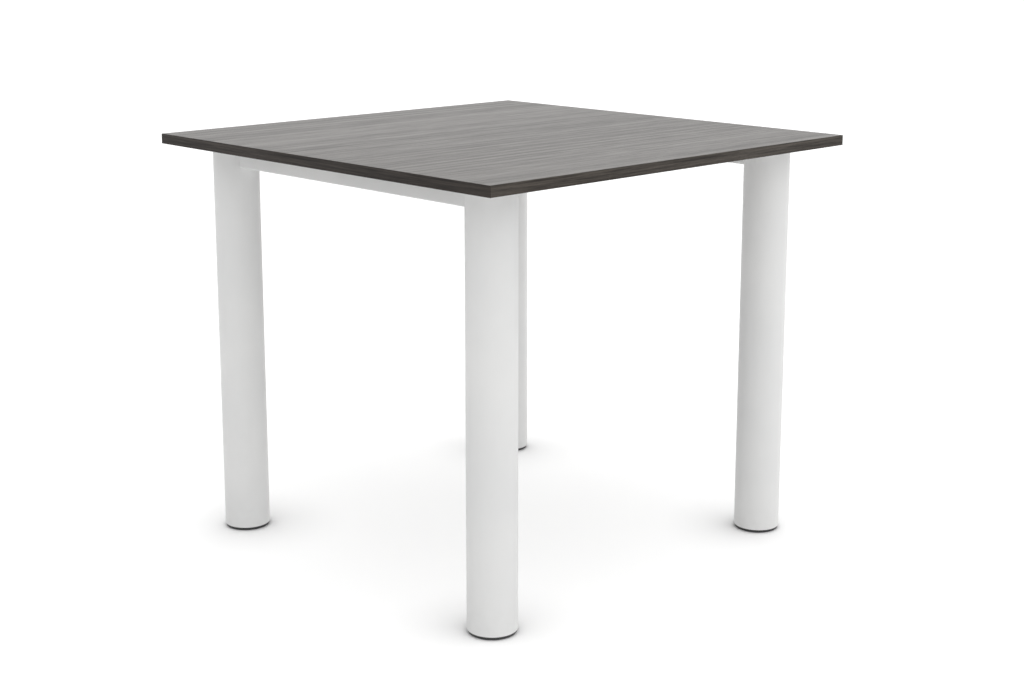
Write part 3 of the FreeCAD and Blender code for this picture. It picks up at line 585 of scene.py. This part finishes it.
# %% [markdown]
# ## Finish: white powder coat
# The steel is sprayed with dry white powder and baked, which gives a tough satin skin with a faint
# orange peel. Plain white would look like paper, so the tone and the gloss drift slightly, the coat
# thins to a greyer line on edges, and a trace of dust lies at the very bottom.

# %% Powder coat
COAT_WHITE = (0.82, 0.82, 0.812, 1)
COAT_SHADE = (0.785, 0.787, 0.782, 1)
COAT_THIN = (0.56, 0.57, 0.58, 1)
COAT_THIN_SHARE = 0.4
COAT_EDGE = {"Width": 0.0008, "Patches": 60.0}
COAT_PEEL = {"Dimples": 650.0, "Drift": 4.0}
COAT_DUST_REACH = 0.12
COAT_DUST_SHARE = 0.06
COAT_ROUGHNESS = (0.36, 0.46)
COAT_RELIEF = (0.08, 0.0002)


def make_powder_coat():
    """Satin white with orange peel, thin edges and a trace of dust."""
    material, tree, shader, place = new_material("white_powder_paint")
    peel = place_group(tree, fine_relief, Place=place, **COAT_PEEL)
    wear = place_group(tree, edge_wear, Place=place, **COAT_EDGE)
    dust = place_group(tree, floor_dust, Place=place, Reach=COAT_DUST_REACH)
    colour = mix_colours(tree, peel["Drift"], COAT_WHITE, COAT_SHADE)
    colour = cover(tree, colour, wear["Mask"], COAT_THIN_SHARE, COAT_THIN)
    colour = cover(tree, colour, dust["Mask"], COAT_DUST_SHARE, DUST_COLOUR)
    tree.links.new(colour, shader.inputs["Base Color"])
    set_roughness(tree, shader, peel["Drift"], *COAT_ROUGHNESS)
    raise_surface(tree, shader, peel["Height"], *COAT_RELIEF)
    return material


powder_coat = make_powder_coat()
dress(powder_coat, "leg_tube_", "leg_flange_", "end_rail_left", "end_rail_right")
dress(powder_coat, "stretcher_front", "stretcher_rear", "end_plate_")

# %% [markdown]
# ## Finish: zinc plate
# Screws, nuts, inserts, blocks and clamp saddles are plated steel: a cool grey metal, bright but
# not polished, with cloudy patches from the bath and rubbed, shinier edges. One plain metal would
# look like new foil, so the clouds change colour and gloss together.

# %% Zinc plate
ZINC_BRIGHT = (0.68, 0.69, 0.71, 1)
ZINC_CLOUD = (0.50, 0.51, 0.54, 1)
ZINC_RUBBED = (0.80, 0.80, 0.80, 1)
ZINC_EDGE = {"Width": 0.0005, "Patches": 400.0}
ZINC_CLOUDS = {"Dimples": 2500.0, "Drift": 160.0}
ZINC_ROUGHNESS = (0.28, 0.45)
ZINC_RELIEF = (0.06, 0.0001)


def make_zinc_plate():
    """Cloudy bright metal."""
    material, tree, shader, place = new_material("bright_zinc_plate")
    clouds = place_group(tree, fine_relief, Place=place, **ZINC_CLOUDS)
    wear = place_group(tree, edge_wear, Place=place, **ZINC_EDGE)
    colour = mix_colours(tree, clouds["Drift"], ZINC_BRIGHT, ZINC_CLOUD)
    colour = mix_colours(tree, wear["Mask"], colour, ZINC_RUBBED)
    tree.links.new(colour, shader.inputs["Base Color"])
    set_roughness(tree, shader, clouds["Drift"], *ZINC_ROUGHNESS)
    shader.inputs["Metallic"].default_value = 1.0
    raise_surface(tree, shader, clouds["Height"], *ZINC_RELIEF)
    return material


zinc_plate = make_zinc_plate()
dress(zinc_plate, "rail_block_", "clamp_saddle_", "foot_nut_", "foot_stud_")
dress(zinc_plate, "rail_bolts", "plate_bolts", "weld_nuts", "flange_screws", "stretcher_screws")
dress(zinc_plate, "board_inserts")

# %% [markdown]
# ## Finish: moulded nylon and rubber
# The plug in each leg's end and the turning base of each foot are black nylon with a fine moulded
# grain, paler where the rim is rubbed. The sole under the base is a duller, softer black, and it
# carries the most dust. Two materials could be built one by one, but they differ only in their
# values, so one recipe makes both.

# %% Nylon and rubber
NYLON_TONES = ((0.026, 0.026, 0.027, 1), (0.046, 0.046, 0.047, 1), (0.09, 0.09, 0.09, 1))
NYLON_DIMPLES = 1400.0
NYLON_ROUGHNESS = (0.42, 0.58)
NYLON_DUST_SHARE = 0.05
RUBBER_TONES = ((0.022, 0.022, 0.022, 1), (0.045, 0.044, 0.043, 1), (0.045, 0.044, 0.043, 1))
RUBBER_DIMPLES = 900.0
RUBBER_ROUGHNESS = (0.75, 0.92)
RUBBER_DUST_SHARE = 0.10
MOULDING_DRIFT = 60.0
MOULDING_EDGE = {"Width": 0.0006, "Patches": 150.0}
MOULDING_RUB_SHARE = 0.5
MOULDING_DUST_REACH = 0.05
MOULDING_RELIEF = (0.2, 0.0002)


def make_moulding(name, tones, dimples, roughness, dust_share):
    """A black moulded surface. Its tones are the deep one, the pale one and that of a rubbed edge."""
    deep, pale, rubbed = tones
    material, tree, shader, place = new_material(name)
    relief = place_group(tree, fine_relief, Place=place, Dimples=dimples, Drift=MOULDING_DRIFT)
    wear = place_group(tree, edge_wear, Place=place, **MOULDING_EDGE)
    dust = place_group(tree, floor_dust, Place=place, Reach=MOULDING_DUST_REACH)
    colour = mix_colours(tree, relief["Drift"], deep, pale)
    colour = cover(tree, colour, wear["Mask"], MOULDING_RUB_SHARE, rubbed)
    colour = cover(tree, colour, dust["Mask"], dust_share, DUST_COLOUR)
    tree.links.new(colour, shader.inputs["Base Color"])
    set_roughness(tree, shader, relief["Drift"], *roughness)
    raise_surface(tree, shader, relief["Height"], *MOULDING_RELIEF)
    return material


nylon_look = (NYLON_TONES, NYLON_DIMPLES, NYLON_ROUGHNESS, NYLON_DUST_SHARE)
rubber_look = (RUBBER_TONES, RUBBER_DIMPLES, RUBBER_ROUGHNESS, RUBBER_DUST_SHARE)
dress(make_moulding("black_moulded_nylon", *nylon_look), "leg_plug_", "foot_base_")
dress(make_moulding("grooved_rubber", *rubber_look), "foot_sole_")
print("pieces without a finish:", sorted(set(frame["nodes"]) - dressed))

# %% [markdown]
# ## Weld beads
# Each flange plate is welded to its leg, and each end plate to its channel. A weld leaves a bead: a
# rounded ridge laid down in small overlapping scales. A torus would give the ridge but not the
# scales, so the bead is swept point by point along its path while its radius swells and shrinks,
# and it tapers where the welder starts and stops. The bead lies half inside the steel, as the
# melted metal does.

# %% Sweep a bead
BEAD_RADIUS = 0.0022
BEAD_SCALE = 0.0028
BEAD_STEP = 0.0005
BEAD_SIDES = 12
BEAD_SWELL = 0.14
BEAD_TAPER = 0.004
BEAD_END = 0.25
UP = Vector((0, 0, 1))


def join_rings(mesh, rings):
    """Skins a row of rings with quads and closes both ends."""
    for low, high in zip(rings, rings[1:]):
        for index in range(len(low)):
            following = (index + 1) % len(low)
            mesh.faces.new((low[index], low[following], high[following], high[index]))
    mesh.faces.new(list(reversed(rings[0])))
    mesh.faces.new(rings[-1])


def sweep_bead(mesh, path, length):
    """Adds a bead to the mesh along path, a function from a distance to a point and a direction."""
    steps = max(2, round(length / BEAD_STEP))
    rings = []
    for step in range(steps + 1):
        distance = length * step / steps
        point, direction = path(distance)
        end_gap = min(distance, length - distance)
        taper = min(1.0, BEAD_END + (1 - BEAD_END) * end_gap / BEAD_TAPER)
        scale = 1 - BEAD_SWELL * abs(math.sin(math.pi * distance / BEAD_SCALE))
        upright = direction.cross(UP).length == 0
        across = (direction.orthogonal() if upright else direction.cross(UP)).normalized()
        rise = across.cross(direction).normalized()
        ring = []
        for corner in range(BEAD_SIDES):
            turn = 2 * math.pi * corner / BEAD_SIDES
            reach = (across * math.cos(turn) + rise * math.sin(turn)) * BEAD_RADIUS * taper * scale
            ring.append(mesh.verts.new(point + reach))
        rings.append(ring)
    join_rings(mesh, rings)


print("bead radius, mm:", BEAD_RADIUS * 1000)

# %% [markdown]
# ## From mesh to piece
# A new piece needs more than a mesh. Its faces have to look outward, its round parts need smooth
# shading with sharp edges kept, and it has to ride on a body of the frame, so that it moves with
# the table or with a foot. One helper does this for every piece that is added.

# %% Finish a piece
SMOOTH_LIMIT = math.radians(40)


def finish_piece(name, mesh, material, body):
    """Turns a built mesh into a piece that rides on a body of the frame."""
    bmesh.ops.recalc_face_normals(mesh, faces=mesh.faces)
    data = bpy.data.meshes.new(name)
    mesh.to_mesh(data)
    mesh.free()
    data.shade_smooth()
    data.set_sharp_from_angle(angle=SMOOTH_LIMIT)
    data.materials.append(material)
    piece = bpy.data.objects.new(name, data)
    scene.collection.objects.link(piece)
    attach(piece, body)
    print(name, "faces:", len(data.polygons))
    return piece


print("smooth up to, degrees:", round(math.degrees(SMOOTH_LIMIT)))

# %% [markdown]
# ## Flange beads
# The flange bead goes round the leg under its plate, but stops short of the rail that butts against
# the leg there. Its place could be typed in, but then it would stay behind if a leg moved, so it is
# read from the boxes of the pieces in the frame.

# %% Weld the flanges
BEAD_SINK = 0.0006
RAIL_ROOM = 0.004
rail_low, rail_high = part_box("end_rail_left")
rail_half = (rail_high.x - rail_low.x) / 2


def weld_flange(corner, side_y):
    """The bead round one leg. It starts and stops beside the rail, which runs inward along Y."""
    low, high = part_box(f"leg_tube_{corner}")
    middle = Vector((low.x + high.x, low.y + high.y, 0)) / 2
    leg_radius = (high.x - low.x) / 2
    bead_turn = leg_radius + BEAD_SINK
    skip = math.asin((rail_half + RAIL_ROOM) / leg_radius)
    start = math.radians(-90 * side_y) + skip

    def round_the_leg(distance):
        turn = start + distance / bead_turn
        outward = Vector((math.cos(turn), math.sin(turn), 0))
        point = middle + outward * bead_turn + UP * (high.z - BEAD_SINK)
        return point, Vector((-outward.y, outward.x, 0))

    bead = bmesh.new()
    sweep_bead(bead, round_the_leg, (2 * math.pi - 2 * skip) * bead_turn)
    finish_piece(f"flange_weld_{corner}", bead, powder_coat, "table")


for corner, (_, side_y) in CORNERS.items():
    weld_flange(corner, side_y)

# %% [markdown]
# ## Channel beads
# Two beads run up the outer sides of each channel against its end plate. They leave room at the
# foot and at the bend, where a welder would not go. Both beads of an end are one piece, because
# they are one job.

# %% Weld the channels
BEAD_FOOT_ROOM = 0.003
BEAD_BEND_ROOM = 0.006
CHANNELS = {-1: "stretcher_front", 1: "stretcher_rear"}


def weld_channel(corner, side_x, side_y):
    """The two beads at one end of a channel."""
    low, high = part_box(CHANNELS[side_y])
    end = high.x if side_x > 0 else low.x
    bottom = low.z + BEAD_FOOT_ROOM
    bead = bmesh.new()
    for outer_side, outward in ((low.y, -1), (high.y, 1)):
        foot = Vector((end - side_x * BEAD_SINK, outer_side + outward * BEAD_SINK, bottom))

        def up_the_channel(distance):
            return foot + UP * distance, UP

        sweep_bead(bead, up_the_channel, high.z - BEAD_BEND_ROOM - bottom)
    finish_piece(f"plate_weld_{corner}", bead, powder_coat, "table")


for corner, (side_x, side_y) in CORNERS.items():
    weld_channel(corner, side_x, side_y)

# %% [markdown]
# ## The shape of a thread
# Each foot hangs on a stud that screws into the leg. In the frame the stud is a plain bar at its
# outside size. The real one has a rolled thread, which shows when the foot is screwed out. A thread
# can be made with a Screw modifier, but a plain grid is easier to control: each point's distance
# from the axis follows how far it has climbed along the helix.

# %% Shape the thread
STUD_RADIUS = 0.005
THREAD_PITCH = 0.0015
DEPTH_PER_PITCH = 0.6134
THREAD_DEPTH = DEPTH_PER_PITCH * THREAD_PITCH
THREAD_CREST = 1.18
TIP_TAPER = 0.0011


def thread_radius(height, turn, length):
    """The stud's radius at a height and an angle: a rounded ridge that climbs one pitch a turn."""
    climbed = (height / THREAD_PITCH - turn / (2 * math.pi)) % 1.0
    ridge = min(1.0, THREAD_CREST * (1 - abs(2 * climbed - 1)))
    radius = STUD_RADIUS - THREAD_DEPTH * (1 - ridge)
    tip_limit = STUD_RADIUS - TIP_TAPER + (length - height)
    return min(radius, tip_limit)


print("thread depth, mm:", round(THREAD_DEPTH * 1000, 2))

# %% [markdown]
# ## Threaded studs
# A stud is a stack of rings: many fine ones for the threaded shank, and four with six points each
# for the hexagon head and its chamfers. The new stud takes the place of the plain one and turns
# with the foot.

# %% Make the studs
THREAD_SIDES = 48
THREAD_ROWS = 10
HEAD_SIDES = 6
HEAD_HEIGHT = 0.005
HEAD_CHAMFER = 0.0006
NECK = 0.0005


def add_ring(mesh, middle, height, radii):
    """One ring of points round an upright axis, with a radius for each point."""
    ring = []
    for index, radius in enumerate(radii):
        turn = 2 * math.pi * index / len(radii)
        outward = Vector((math.cos(turn), math.sin(turn), 0))
        ring.append(mesh.verts.new(middle + outward * radius + UP * height))
    return ring


def make_stud(corner):
    """A hexagon head with a threaded shank, where the frame has the plain stud."""
    low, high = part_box(f"foot_stud_{corner}")
    middle = Vector((low.x + high.x, low.y + high.y, 0)) / 2
    seat = low.z + HEAD_HEIGHT - NECK
    length = high.z - seat
    rows = round(length / THREAD_PITCH * THREAD_ROWS)
    turns = [2 * math.pi * index / THREAD_SIDES for index in range(THREAD_SIDES)]
    stud = bmesh.new()
    shank = []
    for row in range(rows + 1):
        height = length * row / rows
        radii = [thread_radius(height, turn, length) for turn in turns]
        shank.append(add_ring(stud, middle, seat + height, radii))
    join_rings(stud, shank)

    reach = (high.x - low.x) / 2
    top = low.z + HEAD_HEIGHT
    levels = [(low.z, reach - HEAD_CHAMFER), (low.z + HEAD_CHAMFER, reach)]
    levels += [(top - HEAD_CHAMFER, reach), (top, reach - HEAD_CHAMFER)]
    head = [add_ring(stud, middle, height, [radius] * HEAD_SIDES) for height, radius in levels]
    join_rings(stud, head)
    piece = finish_piece(f"threaded_stud_{corner}", stud, zinc_plate, f"foot_{corner}")
    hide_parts(f"foot_stud_{corner}")


for corner in CORNERS:
    make_stud(corner)
